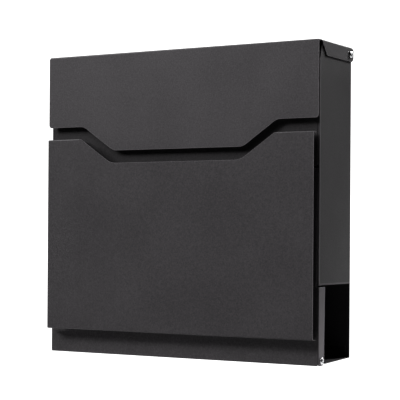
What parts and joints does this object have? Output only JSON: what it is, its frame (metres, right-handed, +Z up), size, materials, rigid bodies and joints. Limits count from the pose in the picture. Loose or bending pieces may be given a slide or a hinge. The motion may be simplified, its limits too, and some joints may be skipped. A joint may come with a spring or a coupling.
{
  "type": "wall mounted mailbox",
  "caption": "Dark sheet steel wall mailbox with a lift-up lid, a trapezoid notch across its front, a fold-down door behind a raised panel, a hidden lock and an open-ended newspaper bay.",
  "frame": {"origin": "centre of the four wall holes, in the plane of the wall", "axes": "+X along the box's width, to the right when facing the wall; +Y into the wall; +Z up. The front faces -Y"},
  "size_m": [0.375, 0.1009, 0.3644],
  "materials": {
    "shell_paint": "fine-textured matt anthracite powder coat",
    "lid_paint": "fine-textured matt anthracite powder coat",
    "door_paint": "fine-textured matt anthracite powder coat",
    "panel_paint": "fine-textured matt anthracite powder coat",
    "zinc_plate": "bright zinc plate",
    "rivet_metal": "dull blind rivet",
    "rubber": "matt black",
    "lock_chrome": "satin chrome",
    "lock_brass": "turned brass",
    "cam_steel": "stamped, zinc plated"
  },
  "bodies": {
    "box": {"back_panel": "shell_paint", "side_panel_left": "shell_paint", "side_panel_right": "shell_paint", "upper_front_plate": "shell_paint", "mail_floor": "shell_paint", "bottom_plate": "shell_paint", "back_rivets": "rivet_metal", "lid_hinge_screws": "zinc_plate", "lid_hinge_washers": "zinc_plate", "lid_hinge_nuts": "zinc_plate", "flap_bumpers": "rubber", "door_hinge_screws": "zinc_plate", "door_hinge_washers": "zinc_plate", "door_hinge_nuts": "zinc_plate", "lock_body": "lock_chrome", "lock_nut": "zinc_plate"},
    "lid": {"lid": "lid_paint"},
    "door": {"door_tray": "door_paint", "facing_panel": "panel_paint", "panel_studs": "zinc_plate", "panel_spacers": "zinc_plate", "panel_washers": "zinc_plate", "panel_nuts": "zinc_plate"},
    "lock": {"lock_plug": "lock_brass", "lock_cam": "cam_steel", "cam_screw": "zinc_plate"}
  },
  "joints": [
    {"name": "lid_hinge", "type": "hinge", "parent": "box", "child": "lid", "pos_m": [0, -0.01075, 0.136], "axis": [-1, 0, 0], "range_deg": [0, 75]},
    {"name": "door_hinge", "type": "hinge", "parent": "box", "child": "door", "pos_m": [0, -0.082, -0.2145], "axis": [1, 0, 0], "range_deg": [0, 90]},
    {"name": "lock_turn", "type": "hinge", "parent": "box", "child": "lock", "pos_m": [0, -0.0735, 0.042], "axis": [0, 1, 0], "range_deg": [0, 90]}
  ]
}
